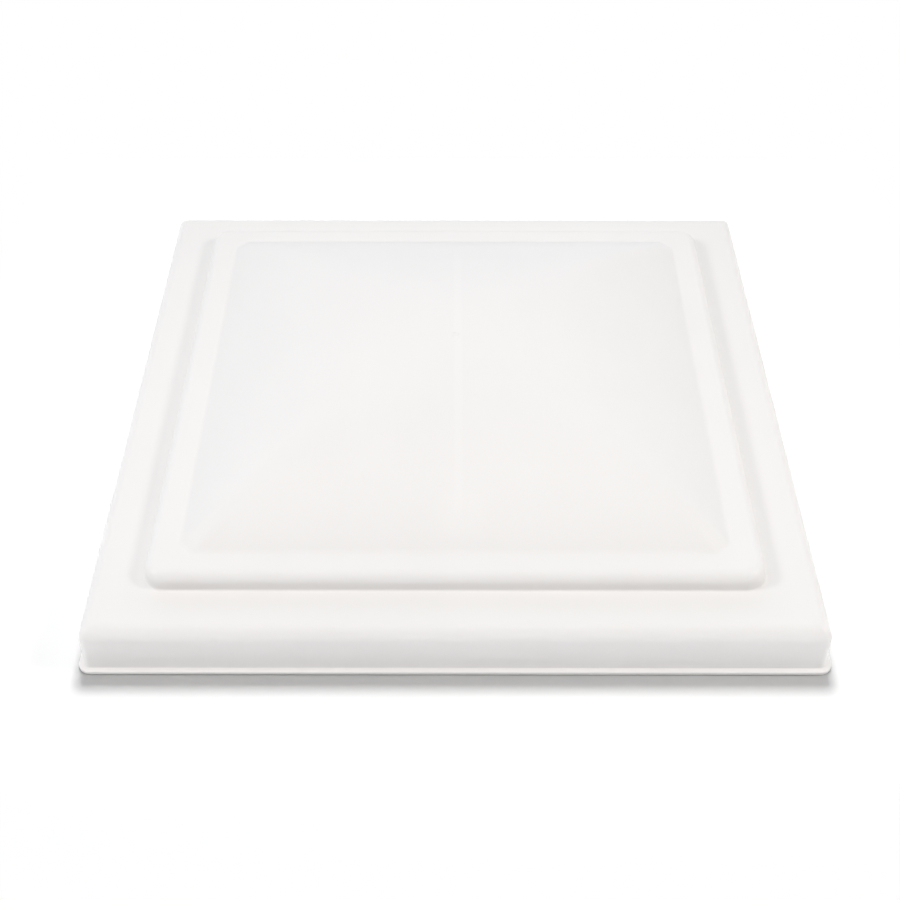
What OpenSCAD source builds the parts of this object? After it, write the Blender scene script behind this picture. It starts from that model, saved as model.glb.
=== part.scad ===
// Lid for a square roof vent: moulded shell, rear hinge, lift track with its slide shoe, foam seals.
// Millimetres. Z is up, the hinge is on the +Y side, the origin is the middle of the lip's underside.

/* [Lid] */
// Width across the outer faces of the skirt
lid_width = 382; // [350:1:420]
// Height of the deck above the underside of the lip
skirt_height = 28.6; // [26:0.1:45]
// Thickness of the moulded wall
wall = 2.5; // [1.8:0.1:3.5]
// Outer radius of the four upright corners
corner_radius = 4; // [4:0.5:8]
// Rounding from the deck to the skirt
edge_radius = 7; // [5:0.5:8]
// How far the lip stands out from the skirt
lip_width = 3; // [2.5:0.1:6]
// Thickness of the lip
lip_thickness = 2.2; // [1.6:0.1:3.2]
// Hollow rounding where the lip meets the skirt
lip_fillet = 0.5; // [0.3:0.1:1.2]
// Rounding along the edges of the lip
lip_edge_radius = 0.6; // [0.3:0.1:0.7]

/* [Raised panel] */
// Width of the flat deck between the skirt face and the step
deck_border = 29.5; // [24:0.5:36]
// Height of the step above the deck
step_height = 10.1; // [8:0.1:18]
// Radius of the step's upright corners
step_corner_radius = 11; // [8:0.5:24]
// Rounding along the top of the step
step_edge_radius = 6; // [3:0.5:7]
// Hollow rounding along the foot of the step
step_foot_radius = 1.2; // [0.8:0.1:1.8]
// Width from the step's wall to the foot of the dome
rim_width = 17.5; // [12:0.5:26]
// Rise of the dome above the rim
dome_rise = 34; // [20:1:50]
// Half width of the dome's flatter crown, from side to side
crown_half = 66; // [50:1:80]
// How much shorter the crown is from front to rear, at each end
crown_trim = 1.5; // [1:0.5:8]
// How far each dome corner is cut back along its diagonal
dome_corner_cut = 5; // [2:0.5:10]
// Radius of the moulding gate mark on top of the dome
gate_radius = 2.2; // [1.5:0.1:3]
// Height of the moulding gate mark
gate_height = 0.3; // [0.2:0.1:0.6]

/* [Underside ribs] */
// Thickness of the moulded ribs
rib_thickness = 2; // [1.6:0.1:2.6]
// Distance between guide ribs inside the skirt
guide_spacing = 76; // [50:1:96]
// Height of the sloped lead-in on each guide rib
guide_lead = 7; // [4:0.5:10]
// Wall of a screw boss round its screw
boss_wall = 2.9; // [2:0.1:4]
// Least length of a screw boss
boss_length = 6; // [5:0.5:12]

/* [Seal] */
// Width of a foam seal strip
seal_width = 10; // [7:0.5:16]
// Thickness of a foam seal strip
seal_thickness = 6; // [3.5:0.5:8]
// Rounding along the lower edges of a seal strip
seal_round = 2; // [0.5:0.25:3]
// Gap round a seal strip
seal_gap = 0.3; // [0.2:0.1:0.6]

/* [Hinge] */
// Distance from each end of the hinge to the skirt's side face
hinge_end_gap = 20; // [14:1:40]
// Number of knuckles on the hinge
knuckle_count = 17; // [9:2:25]
// Outer radius of a knuckle
knuckle_radius = 2.5; // [2.2:0.1:3]
// Radius of the hinge pin
pin_radius = 1.5; // [1:0.1:1.6]
// Thickness of the hinge leaves
leaf_thickness = 1.2; // [0.9:0.1:1.4]
// Distance from the top of the lid's leaf to the rounding under the deck
lid_leaf_gap = 3.1; // [1:0.1:6]
// Distance from the top of the vent base's leaf to the rear seal
base_leaf_gap = 3.6; // [2:0.1:5]
// Radius of the screw holes in the base leaf
base_hole_radius = 2.2; // [1.5:0.1:2.6]
// Distance between the inner pair of screw holes
base_hole_inner = 70; // [40:1:120]
// Distance between the outer pair of screw holes
base_hole_outer = 210; // [150:1:250]
// Distance between rivets along the hinge
rivet_spacing = 70; // [40:1:74]
// Radius of a rivet shank
rivet_radius = 1.6; // [1.2:0.1:2]
// Radius of a rivet's wide outer head
rivet_head_radius = 4.5; // [3.5:0.1:6]

/* [Lift track] */
// Length of the channel that the shoe runs in
track_length = 200; // [140:1:216]
// Outer width of the channel
track_width = 26; // [24:0.5:36]
// Outer height of the channel
track_height = 9; // [8:0.1:12]
// Thickness of the channel's sheet steel
track_gauge = 1.2; // [0.9:0.1:1.6]
// Width of the slot along the bottom of the channel
track_slot = 12; // [10:0.5:14]
// Length of the screw tab at each end
tab_length = 18; // [14:0.5:24]
// Width of tab left beside a screw head
tab_margin = 0.4; // [0.2:0.1:1.5]
// Radius of a screw shank
screw_radius = 1.6; // [1.2:0.1:2]
// Radius of a screw head
screw_head_radius = 3.6; // [3:0.1:4]

/* [Slide shoe] */
// Length of the shoe along the track
shoe_length = 30; // [22:1:50]
// Gap between the shoe and the channel
shoe_gap = 0.3; // [0.3:0.05:0.5]
// Wall of the lug round the lift-arm stud
lug_wall = 3.5; // [2.5:0.25:5]
// Gap between the channel and the stud's head
stud_gap = 2; // [0.5:0.25:4]
// Radius of the lift-arm stud
stud_radius = 3; // [2.4:0.1:4]
// Free length of the lift-arm stud
stud_length = 14; // [8:0.5:20]

/* [View] */
// Piece to show

/* [Hidden] */
$fn = 96;

// Small overlap that lets a cut run past a face
over = 1;
// Radial clearance of a pin, rivet or screw in its hole
pin_clear = 0.05;
// Radial clearance of a pressed stud
press_clear = 0.02;

// Facets of the dome's wide arcs in a preview
arch_facets = 360;

// Colours
white_moulding = [0.93, 0.93, 0.92];
foam_grey = [0.24, 0.24, 0.25];
zinc_grey = [0.70, 0.71, 0.72];
steel_grey = [0.62, 0.63, 0.65];
rivet_grey = [0.78, 0.78, 0.78];
nylon_cream = [0.88, 0.86, 0.80];

// Lid levels
half_width = lid_width / 2;
deck_z = skirt_height;
deck_under = deck_z - wall;
rim_z = deck_z + step_height;
rim_under = rim_z - wall;
step_half = half_width - deck_border;
least_round = 0.5;
step_inner_edge = max(step_edge_radius - wall, least_round);
skirt_inner = half_width - wall;

// Dome: two crossing vaults, each an arch with a flatter crown and rounder sides
dome_half = step_half - rim_width;
dome_top = rim_z + dome_rise;
vault_length = 4 * step_half;

// Half length of the crown, from front to rear
crown_end_half = crown_half - crown_trim;

// The crown of an arch turns by this share of the mean slope from its top to its foot
crown_turn_share = 0.66;

// Arch numbers from its half width, its rise and the half width of its crown
function crown_turn(half, rise) = crown_turn_share * atan(rise / half);
function crown_radius(half, rise, crown) = crown / sin(crown_turn(half, rise));
function crown_drop(half, rise, crown) = crown * tan(crown_turn(half, rise) / 2);
function side_fall(half, rise, crown) = rise - crown_drop(half, rise, crown);
function side_lean(half, rise, crown) =
  side_fall(half, rise, crown) * cos(crown_turn(half, rise)) - (half - crown) * sin(crown_turn(half, rise));
function side_radius(half, rise, crown) =
  ((half - crown) ^ 2 + side_fall(half, rise, crown) ^ 2) / (2 * side_lean(half, rise, crown));
function side_x(half, rise, crown) = crown - side_radius(half, rise, crown) * sin(crown_turn(half, rise));
function side_z(half, rise, crown) =
  -crown_drop(half, rise, crown) - side_radius(half, rise, crown) * cos(crown_turn(half, rise));

// Height of an arch's face from its top, at a distance from the middle and a depth below the face
function crown_face(x, depth, half, rise, crown) =
  sqrt((crown_radius(half, rise, crown) - depth) ^ 2 - x ^ 2) - crown_radius(half, rise, crown);
function side_face(x, depth, half, rise, crown) =
  side_z(half, rise, crown)
  + sqrt((side_radius(half, rise, crown) - depth) ^ 2 - (x - side_x(half, rise, crown)) ^ 2);
function arch_face(x, depth, half, rise, crown) =
  x < crown ? crown_face(x, depth, half, rise, crown) : side_face(x, depth, half, rise, crown);

// Hips of the dome: two diagonal vaults that start a little above its top
hip_lift = 0.8;
hip_half = dome_half * sqrt(2) - dome_corner_cut;
hip_rise = dome_rise + hip_lift;
hip_crown = crown_half * sqrt(2);

// Gate mark
gate_dimple_share = 0.4;
gate_dimple_radius = gate_radius * gate_dimple_share;
gate_sink = 0.6;

// Seals
seal_outer = half_width - edge_radius - seal_gap;
seal_inner = seal_outer - seal_width;
seal_low = deck_under - seal_thickness;

// Guide ribs reach to the seal gap
guide_depth = skirt_inner - seal_outer - seal_gap;
guide_steps = [-1.5, -0.5, 0.5, 1.5];

// Hinge
hinge_length = lid_width - 2 * hinge_end_gap;
knuckle_pitch = hinge_length / knuckle_count;
knuckle_gap = 0.4;
knuckle_length = knuckle_pitch - knuckle_gap;
hinge_floor_gap = 0.5;
skirt_gap = 0.4;
axis_z = knuckle_radius + hinge_floor_gap;
axis_y = skirt_inner - knuckle_radius - skirt_gap;
notch_gap = 0.6;
leaf_low = axis_z + knuckle_radius + notch_gap;
lid_leaf_y = skirt_inner - leaf_thickness;
base_leaf_y = axis_y - knuckle_radius - skirt_gap;
lid_leaf_top = deck_under - (edge_radius - wall) - lid_leaf_gap;
base_leaf_top = seal_low - base_leaf_gap;
base_hole_z = (leaf_low + base_leaf_top) / 2;
base_hole_spots = [-base_hole_outer / 2, -base_hole_inner / 2, base_hole_inner / 2, base_hole_outer / 2];
pin_head_radius = (pin_radius + knuckle_radius) / 2;
pin_head_length = 0.9;

// Rivets
rivet_z = (leaf_low + lid_leaf_top) / 2;
rivet_steps = [-2, -1, 0, 1, 2];
rivet_head_height = 1.3;
rivet_head_round = 1.1;
rivet_tail_flare = 0.9;
rivet_tail_radius = rivet_radius + rivet_tail_flare;
rivet_tail_length = 2;
rivet_tail_round = 0.8;
mandrel_radius = 0.9;
mandrel_depth = 0.7;
rivet_grip = wall + leaf_thickness;

// Lift track
track_end = track_length / 2 + tab_length;
track_top = dome_top + arch_face(track_end, wall, dome_half, dome_rise, crown_end_half) - boss_length;
track_low = track_top - track_height;
track_mid_z = (track_top + track_low) / 2;
bend_outer = 2;
bend_inner = bend_outer - track_gauge;
tab_round = 3;
screw_y = track_length / 2 + tab_length / 2;
screw_x = track_width / 2 - bend_outer - tab_margin - screw_head_radius;
boss_radius = screw_radius + boss_wall;
screw_clear = 0.2;
boss_floor = 0.5;
screw_bite = boss_length - boss_floor;
screw_tip = 1.5;
screw_tip_radius = 0.5;
screw_head_height = 2.2;
screw_head_round = 1;
drive_length = 4;
drive_width = 0.9;
drive_depth = 1.1;
pilot_spare = 0.3;
pilot_depth = screw_bite + pilot_spare;

// Slide shoe
shoe_width = track_width - 2 * track_gauge - 2 * shoe_gap;
shoe_top = track_top - track_gauge - shoe_gap;
shoe_low = track_low + track_gauge + shoe_gap;
shoe_round = 2;
neck_width = track_slot - 2 * shoe_gap;
stud_head_flange = 1;
stud_head_radius = stud_radius + stud_head_flange;
stud_head_height = 1.2;
stud_chamfer = 0.6;
stud_shoulder = 0.6;
stud_shank_radius = stud_radius - stud_shoulder;
stud_z = track_low - stud_gap - stud_head_radius;
lug_radius = stud_radius + lug_wall;

// Square corner less a quarter circle, for rounding an outline
module corner_cut(radius) {
  difference() {
    square(radius + over);
    circle(radius);
  }
}

// Outline of a bar from the zero line to its width, with one rounded upper corner
module edge_profile(width, low, high, radius) {
  difference() {
    translate([0, low])
      square([width, high - low]);
    translate([width - radius, high - radius])
      corner_cut(radius);
  }
}

// Quarter-hollow outline that fills the corner at its zero point
module fillet_profile(radius, embed) {
  difference() {
    translate([-embed, -embed])
      square(radius + embed);
    translate([radius, radius])
      circle(radius);
  }
}

// Rounded rectangle outline about the origin
module round_rect(width, height, radius) {
  square([width, height - 2 * radius], center = true);
  square([width - 2 * radius, height], center = true);
  for (x = [-1, 1], y = [-1, 1])
    translate([x * (width / 2 - radius), y * (height / 2 - radius)])
      circle(radius);
}

// Runs an outline round a rounded square; its zero line lies on the corner centres
module run_round(half, radius) {
  inset = half - radius;
  for (turn = [0, 90, 180, 270])
    rotate(turn) {
      translate([inset, inset, 0])
        rotate_extrude(angle = 90)
          children();
      translate([inset, inset, 0])
        rotate([90, 0, 0])
          linear_extrude(2 * inset)
            children();
    }
}

// Rounded square block with a rounded upper edge
module soft_slab(half, corner, low, high, radius) {
  inset = half - corner;
  run_round(half, corner)
    edge_profile(corner, low, high, radius);
  translate([-inset, -inset, low])
    cube([2 * inset, 2 * inset, high - low]);
}

// Outline of a wide bar with two rounded upper corners
module crown_profile(half, low, high, radius) {
  difference() {
    translate([-half, low])
      square([2 * half, high - low]);
    for (side = [0, 1])
      mirror([side, 0])
        translate([half - radius, high - radius])
          corner_cut(radius);
  }
}

// Rounded square block whose four rounded upper edges meet in mitres
module mitred_slab(half, corner, low, high, radius) {
  reach = 2 * half + 2 * over;
  intersection() {
    translate([0, 0, low])
      linear_extrude(high - low)
        round_rect(2 * half, 2 * half, corner);
    rotate([90, 0, 0])
      linear_extrude(reach, center = true)
        crown_profile(half, low - over, high, radius);
    rotate([90, 0, 90])
      linear_extrude(reach, center = true)
        crown_profile(half, low - over, high, radius);
  }
}

// Outline under an arch whose top is the zero point, set in from its face by a depth
module arch_profile(depth, half, rise, crown) {
  radius = crown_radius(half, rise, crown);
  reach = 2 * radius;
  spread = reach * tan(crown_turn(half, rise));
  intersection() {
    translate([0, -radius])
      circle(radius - depth, $fn = arch_facets);
    polygon([[0, -radius], [spread, reach - radius], [-spread, reach - radius]]);
  }
  for (side = [0, 1])
    mirror([side, 0])
      intersection() {
        translate([side_x(half, rise, crown), side_z(half, rise, crown)])
          circle(side_radius(half, rise, crown) - depth, $fn = arch_facets);
        polygon([[0, -radius], [reach, -radius], [reach, reach - radius], [spread, reach - radius]]);
      }
}

// One level vault, turned about Z
module level_vault(turn, top, depth, half, rise, crown) {
  translate([0, 0, top])
    rotate([90, 0, turn])
      linear_extrude(vault_length, center = true)
        arch_profile(depth, half, rise, crown);
}

// Crossing vaults, set in from the dome's outer face by a depth, above a given level
module vault(depth, low) {
  reach = 2 * step_half;
  intersection() {
    level_vault(0, dome_top, depth, dome_half, dome_rise, crown_half);
    level_vault(90, dome_top, depth, dome_half, dome_rise, crown_end_half);
    level_vault(45, dome_top + hip_lift, depth, hip_half, hip_rise, hip_crown);
    level_vault(135, dome_top + hip_lift, depth, hip_half, hip_rise, hip_crown);
    translate([-step_half, -step_half, low])
      cube([reach, reach, dome_top - low + over]);
  }
}

// Lip outline, measured from the corner centres
module lip_profile() {
  difference() {
    translate([corner_radius - wall, 0])
      square([wall + lip_width, lip_thickness]);
    translate([corner_radius + lip_width - lip_edge_radius, lip_thickness - lip_edge_radius])
      corner_cut(lip_edge_radius);
    translate([corner_radius + lip_width - lip_edge_radius, lip_edge_radius])
      mirror([0, 1])
        corner_cut(lip_edge_radius);
  }
  translate([corner_radius, lip_thickness])
    fillet_profile(lip_fillet, wall / 2);
}

// Outer form of the lid
module lid_outside() {
  mitred_slab(half_width, corner_radius, 0, deck_z, edge_radius);
  soft_slab(step_half, step_corner_radius, deck_under, rim_z, step_edge_radius);
  run_round(step_half, step_corner_radius)
    translate([step_corner_radius, deck_z])
      fillet_profile(step_foot_radius, wall / 2);
  run_round(half_width, corner_radius)
    lip_profile();
  vault(0, rim_under);
  translate([0, 0, dome_top - gate_sink])
    cylinder(h = gate_sink + gate_height, r = gate_radius);
}

// Hollow of the lid
module lid_inside() {
  mitred_slab(skirt_inner, corner_radius - wall, -over, deck_under, edge_radius - wall);
  soft_slab(step_half - wall, step_corner_radius - wall, deck_under - wall, rim_under, step_inner_edge);
  vault(wall, rim_under - wall);
}

// Guide rib on the inside of one skirt face
module guide_rib() {
  low = lip_thickness;
  rotate([90, 0, 0])
    linear_extrude(rib_thickness, center = true)
      polygon([
        [skirt_inner + wall / 2, low],
        [skirt_inner, low],
        [skirt_inner - guide_depth, low + guide_lead],
        [skirt_inner - guide_depth, deck_under + wall / 2],
        [skirt_inner - guide_depth / 2, deck_under + wall / 2],
        [skirt_inner + wall / 2, deck_under - edge_radius + wall]
      ]);
}

// Spine rib, cross ribs and screw bosses under the dome
module dome_ribs() {
  tall = dome_top - track_top;
  intersection() {
    union() {
      translate([-rib_thickness / 2, -dome_half, track_top])
        cube([rib_thickness, 2 * dome_half, tall]);
      for (y = [-screw_y, screw_y]) {
        translate([-screw_x, y - rib_thickness / 2, track_top])
          cube([2 * screw_x, rib_thickness, tall]);
        for (x = [-screw_x, screw_x])
          translate([x, y, track_top])
            cylinder(h = tall, r = boss_radius);
      }
    }
    vault(wall / 2, track_top - over);
  }
}

// Places its child at every track screw
module at_screws() {
  for (x = [-screw_x, screw_x], y = [-screw_y, screw_y])
    translate([x, y, track_top])
      children();
}

// Places its child at every rivet, pointing out of the rear skirt
module at_rivets() {
  for (step = rivet_steps)
    translate([step * rivet_spacing, half_width, rivet_z])
      rotate([-90, 0, 0])
        children();
}

// Places its child at one set of knuckles: 0 for the lid leaf, 1 for the base leaf
module at_knuckles(first) {
  for (k = [first : 2 : knuckle_count - 1])
    translate([-hinge_length / 2 + k * knuckle_pitch + knuckle_gap / 2, axis_y, axis_z])
      children();
}

// Bore for the hinge pin along the whole hinge
module pin_bore() {
  translate([0, axis_y, axis_z])
    rotate([0, 90, 0])
      cylinder(h = hinge_length + 2 * over, r = pin_radius + pin_clear, center = true);
}

// One rolled knuckle along X
module knuckle() {
  rotate([0, 90, 0])
    cylinder(h = knuckle_length, r = knuckle_radius);
}

module lid_shell() {
  color(white_moulding)
    difference() {
      union() {
        difference() {
          lid_outside();
          lid_inside();
        }
        dome_ribs();
        for (turn = [0, 180, 270])
          rotate(turn)
            for (step = guide_steps)
              translate([0, step * guide_spacing, 0])
                guide_rib();
      }
      translate([0, 0, dome_top])
        cylinder(h = over, r = gate_dimple_radius);
      at_rivets()
        translate([0, 0, -wall - over])
          cylinder(h = wall + 2 * over, r = rivet_radius + pin_clear);
      at_screws()
        translate([0, 0, -over])
          cylinder(h = pilot_depth + over, r = screw_radius + pin_clear);
    }
}

// Cross-section of a seal strip, hanging below the zero line
module seal_profile() {
  difference() {
    translate([-seal_width / 2, -seal_thickness])
      square([seal_width, seal_thickness]);
    for (side = [0, 1])
      mirror([side, 0])
        translate([seal_width / 2 - seal_round, -seal_thickness + seal_round])
          mirror([0, 1])
            corner_cut(seal_round);
  }
}

// Straight seal strip along X under the deck
module seal_strip(length) {
  translate([0, 0, deck_under])
    rotate([90, 0, 90])
      linear_extrude(length, center = true)
        seal_profile();
}

module seal_front() {
  color(foam_grey)
    translate([0, -(seal_inner + seal_outer) / 2, 0])
      seal_strip(2 * seal_outer);
}

module seal_rear() {
  color(foam_grey)
    translate([0, (seal_inner + seal_outer) / 2, 0])
      seal_strip(2 * seal_outer);
}

module seal_left() {
  color(foam_grey)
    translate([-(seal_inner + seal_outer) / 2, 0, 0])
      rotate(90)
        seal_strip(2 * seal_inner);
}

module seal_right() {
  color(foam_grey)
    translate([(seal_inner + seal_outer) / 2, 0, 0])
      rotate(90)
        seal_strip(2 * seal_inner);
}

module hinge_lid_leaf() {
  color(zinc_grey)
    difference() {
      union() {
        translate([-hinge_length / 2 + knuckle_gap / 2, lid_leaf_y, leaf_low])
          cube([hinge_length - knuckle_gap, leaf_thickness, lid_leaf_top - leaf_low]);
        at_knuckles(0) {
          knuckle();
          translate([0, lid_leaf_y - axis_y, 0])
            cube([knuckle_length, leaf_thickness, leaf_low - axis_z + over]);
        }
      }
      pin_bore();
      at_rivets()
        translate([0, 0, -rivet_grip - over])
          cylinder(h = rivet_grip + over, r = rivet_radius + pin_clear);
    }
}

module hinge_base_leaf() {
  color(zinc_grey)
    difference() {
      union() {
        translate([-hinge_length / 2 + knuckle_pitch + knuckle_gap / 2, base_leaf_y, leaf_low])
          cube([
            hinge_length - 2 * knuckle_pitch - knuckle_gap,
            leaf_thickness,
            base_leaf_top - leaf_low
          ]);
        at_knuckles(1) {
          knuckle();
          translate([0, base_leaf_y - axis_y, 0])
            cube([knuckle_length, leaf_thickness, leaf_low - axis_z + over]);
        }
      }
      pin_bore();
      for (x = base_hole_spots)
        translate([x, base_leaf_y - over, base_hole_z])
          rotate([-90, 0, 0])
            cylinder(h = leaf_thickness + 2 * over, r = base_hole_radius);
    }
}

module hinge_pin() {
  color(steel_grey)
    translate([0, axis_y, axis_z])
      rotate([0, 90, 0]) {
        cylinder(h = hinge_length, r = pin_radius, center = true);
        for (side = [0, 1])
          mirror([0, 0, side])
            translate([0, 0, hinge_length / 2])
              rotate_extrude()
                edge_profile(pin_head_radius, 0, pin_head_length, pin_head_length / 2);
      }
}

module hinge_rivets() {
  color(rivet_grey)
    at_rivets()
      difference() {
        union() {
          rotate_extrude()
            edge_profile(rivet_head_radius, 0, rivet_head_height, rivet_head_round);
          translate([0, 0, -rivet_grip])
            cylinder(h = rivet_grip + rivet_head_height / 2, r = rivet_radius);
          translate([0, 0, -rivet_grip])
            mirror([0, 0, 1])
              rotate_extrude()
                edge_profile(rivet_tail_radius, 0, rivet_tail_length, rivet_tail_round);
        }
        translate([0, 0, rivet_head_height - mandrel_depth])
          cylinder(h = mandrel_depth + over, r = mandrel_radius);
      }
}

// Cross-section of the channel about its middle
module track_profile() {
  difference() {
    round_rect(track_width, track_height, bend_outer);
    round_rect(track_width - 2 * track_gauge, track_height - 2 * track_gauge, bend_inner);
    translate([-track_slot / 2, -track_height / 2 - over])
      square([track_slot, track_gauge + 2 * over]);
  }
}

module lift_track() {
  color(zinc_grey)
    difference() {
      union() {
        translate([0, 0, track_mid_z])
          rotate([90, 0, 0])
            linear_extrude(track_length, center = true)
              track_profile();
        translate([0, 0, track_top - track_gauge])
          linear_extrude(track_gauge)
            round_rect(track_width - 2 * bend_outer, 2 * track_end, tab_round);
      }
      at_screws()
        translate([0, 0, -track_gauge - over])
          cylinder(h = track_gauge + 2 * over, r = screw_radius + screw_clear);
    }
}

module track_screws() {
  color(steel_grey)
    at_screws()
      difference() {
        union() {
          translate([0, 0, -track_gauge])
            mirror([0, 0, 1])
              rotate_extrude()
                edge_profile(screw_head_radius, 0, screw_head_height, screw_head_round);
          translate([0, 0, -track_gauge - screw_head_height / 2])
            cylinder(h = track_gauge + screw_head_height / 2 + screw_bite - screw_tip, r = screw_radius);
          translate([0, 0, screw_bite - screw_tip])
            cylinder(h = screw_tip, r1 = screw_radius, r2 = screw_tip_radius);
        }
        for (turn = [0, 90])
          rotate(turn)
            translate([-drive_length / 2, -drive_width / 2, -track_gauge - screw_head_height - over])
              cube([drive_length, drive_width, drive_depth + over]);
      }
}

module slide_shoe() {
  color(nylon_cream)
    difference() {
      union() {
        translate([0, 0, shoe_low])
          linear_extrude(shoe_top - shoe_low)
            round_rect(shoe_width, shoe_length, shoe_round);
        translate([-neck_width / 2, -lug_radius, stud_z])
          cube([neck_width, 2 * lug_radius, shoe_low - stud_z + over]);
        translate([0, 0, stud_z])
          rotate([0, 90, 0])
            cylinder(h = neck_width, r = lug_radius, center = true);
      }
      translate([0, 0, stud_z])
        rotate([0, 90, 0])
          cylinder(h = neck_width + 2 * over, r = stud_shank_radius + press_clear, center = true);
    }
}

module arm_stud() {
  tip = neck_width / 2 + stud_length;
  color(steel_grey)
    translate([0, 0, stud_z])
      rotate([0, 90, 0]) {
        translate([0, 0, -neck_width / 2])
          cylinder(h = neck_width + over, r = stud_shank_radius);
        translate([0, 0, neck_width / 2])
          cylinder(h = stud_length - stud_chamfer, r = stud_radius);
        translate([0, 0, tip - stud_chamfer])
          cylinder(h = stud_chamfer, r1 = stud_radius, r2 = stud_radius - stud_chamfer);
        translate([0, 0, -neck_width / 2])
          mirror([0, 0, 1])
            rotate_extrude()
              edge_profile(stud_head_radius, 0, stud_head_height, stud_chamfer);
      }
}

lid_shell();
seal_front();
seal_rear();
seal_left();
seal_right();
hinge_lid_leaf();
hinge_base_leaf();
hinge_pin();
hinge_rivets();
lift_track();
track_screws();
slide_shoe();
arm_stud();
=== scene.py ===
import bisect
import math

import bmesh
import bpy
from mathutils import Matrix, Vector


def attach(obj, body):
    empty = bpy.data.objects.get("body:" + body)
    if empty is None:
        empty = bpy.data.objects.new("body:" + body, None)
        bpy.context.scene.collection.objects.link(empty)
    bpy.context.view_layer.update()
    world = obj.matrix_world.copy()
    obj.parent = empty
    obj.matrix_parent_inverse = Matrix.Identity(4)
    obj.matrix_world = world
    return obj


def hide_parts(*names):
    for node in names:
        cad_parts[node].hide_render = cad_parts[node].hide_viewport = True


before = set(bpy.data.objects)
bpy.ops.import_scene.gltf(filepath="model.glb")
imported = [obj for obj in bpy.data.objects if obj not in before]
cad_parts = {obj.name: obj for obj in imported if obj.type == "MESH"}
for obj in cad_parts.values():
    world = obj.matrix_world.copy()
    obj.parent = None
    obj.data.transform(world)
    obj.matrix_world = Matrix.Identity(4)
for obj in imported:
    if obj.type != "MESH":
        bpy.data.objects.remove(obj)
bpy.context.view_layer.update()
SCENE = bpy.context.scene
MM = 0.001

# ---------------------------------------------------------------- sizes of the lid, in millimetres
SKIRT, WALL, SKIRT_CORNER, DECK_EDGE = 191.0, 2.5, 4.0, 7.0
LIP_OUT, LIP_THICK, LIP_FILLET, LIP_EDGE = 3.0, 2.2, 0.5, 0.6
DECK_Z = 28.6
STEP, STEP_CORNER, STEP_EDGE, STEP_FOOT = 161.5, 11.0, 6.0, 1.2
RIM_Z = 38.7
DOME_HALF, DOME_RISE, DOME_CORNER = 144.0, 34.0, 12.0
DOME_TOP = RIM_Z + DOME_RISE
CROWN_HALF, CROWN_END_HALF, CROWN_TURN_SHARE = 66.0, 64.5, 0.66
HIP_LIFT, HIP_HALF = 0.8, DOME_HALF * math.sqrt(2) - 5.0
HIP_SOFT, HIP_EDGE = 3.6, 0.6
CREASE_SOFT = 0.9
GATE_RADIUS, GATE_HEIGHT, GATE_DIMPLE = 2.2, 0.3, 0.88
TRACK_TOP = 43.4982
SCREW_X, SCREW_Y = 7.0, 109.0
SEAL_OUT, SEAL_IN, SEAL_LOW = 183.7, 173.7, 20.1
DECK_UNDER, RIM_UNDER = DECK_Z - WALL, RIM_Z - WALL
GUIDE_PLACES, GUIDE_HALF, GUIDE_EDGE = (-114.0, -38.0, 38.0, 114.0), 1.0, 0.3


# ---------------------------------------------------------------- mesh helpers
def make_object(name, verts, faces, body, smooth=True):
    """A mesh object from points in millimetres, riding on a body."""
    mesh = bpy.data.meshes.new(name)
    mesh.from_pydata([(x * MM, y * MM, z * MM) for x, y, z in verts], [], faces)
    mesh.validate()
    mesh.update()
    bm = bmesh.new()
    bm.from_mesh(mesh)
    bmesh.ops.recalc_face_normals(bm, faces=bm.faces)
    bm.to_mesh(mesh)
    bm.free()
    mesh.polygons.foreach_set("use_smooth", [smooth] * len(mesh.polygons))
    obj = bpy.data.objects.new(name, mesh)
    SCENE.collection.objects.link(obj)
    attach(obj, body)
    return obj


def soft_min(a, b, soft):
    """The lower of two heights, with the crease between them rounded."""
    if soft <= 0:
        return min(a, b)
    share = max(soft - abs(a - b), 0) / soft
    return min(a, b) - share * share * soft / 4


def soft_max(a, b, soft):
    return -soft_min(-a, -b, soft)


class Arch:
    """Arch with a flatter crown and rounder sides; its top is the zero point."""

    def __init__(self, half, rise, crown_half):
        self.turn = CROWN_TURN_SHARE * math.atan(rise / half)
        self.crown = crown_half / math.sin(self.turn)
        drop = crown_half * math.tan(self.turn / 2)
        run, fall = half - crown_half, rise - drop
        self.side = (run**2 + fall**2) / (2 * (fall * math.cos(self.turn) - run * math.sin(self.turn)))
        self.x = crown_half - self.side * math.sin(self.turn)
        self.z = -drop - self.side * math.cos(self.turn)

    def face(self, u, depth):
        """Height of the face that lies a depth below the arch, at a distance from the middle."""
        if u < (self.crown - depth) * math.sin(self.turn):
            return math.sqrt((self.crown - depth) ** 2 - u * u) - self.crown
        return self.z + math.sqrt((self.side - depth) ** 2 - (u - self.x) ** 2)

    def reach(self, z, depth):
        """Distance from the middle where a side's face passes a height."""
        return self.x + math.sqrt((self.side - depth) ** 2 - (z - self.z) ** 2)


SIDE_ARCH = Arch(DOME_HALF, DOME_RISE, CROWN_HALF)
END_ARCH = Arch(DOME_HALF, DOME_RISE, CROWN_END_HALF)
HIP_ARCH = Arch(HIP_HALF, DOME_RISE + HIP_LIFT, CROWN_HALF * math.sqrt(2))


def dome_height(x, y, depth=0.0):
    """Height of the dome's outer face, or of the face that lies a depth below it."""
    x, y = abs(x), abs(y)
    sides = soft_min(SIDE_ARCH.face(x, depth), END_ARCH.face(y, depth), HIP_SOFT)
    hip = HIP_LIFT + HIP_ARCH.face((x + y) / math.sqrt(2), depth)
    return DOME_TOP + soft_min(sides, hip, HIP_EDGE)


# ---------------------------------------------------------------- moulded shell
CORNER_STEPS, SIDE_STEPS = 16, 48
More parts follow.
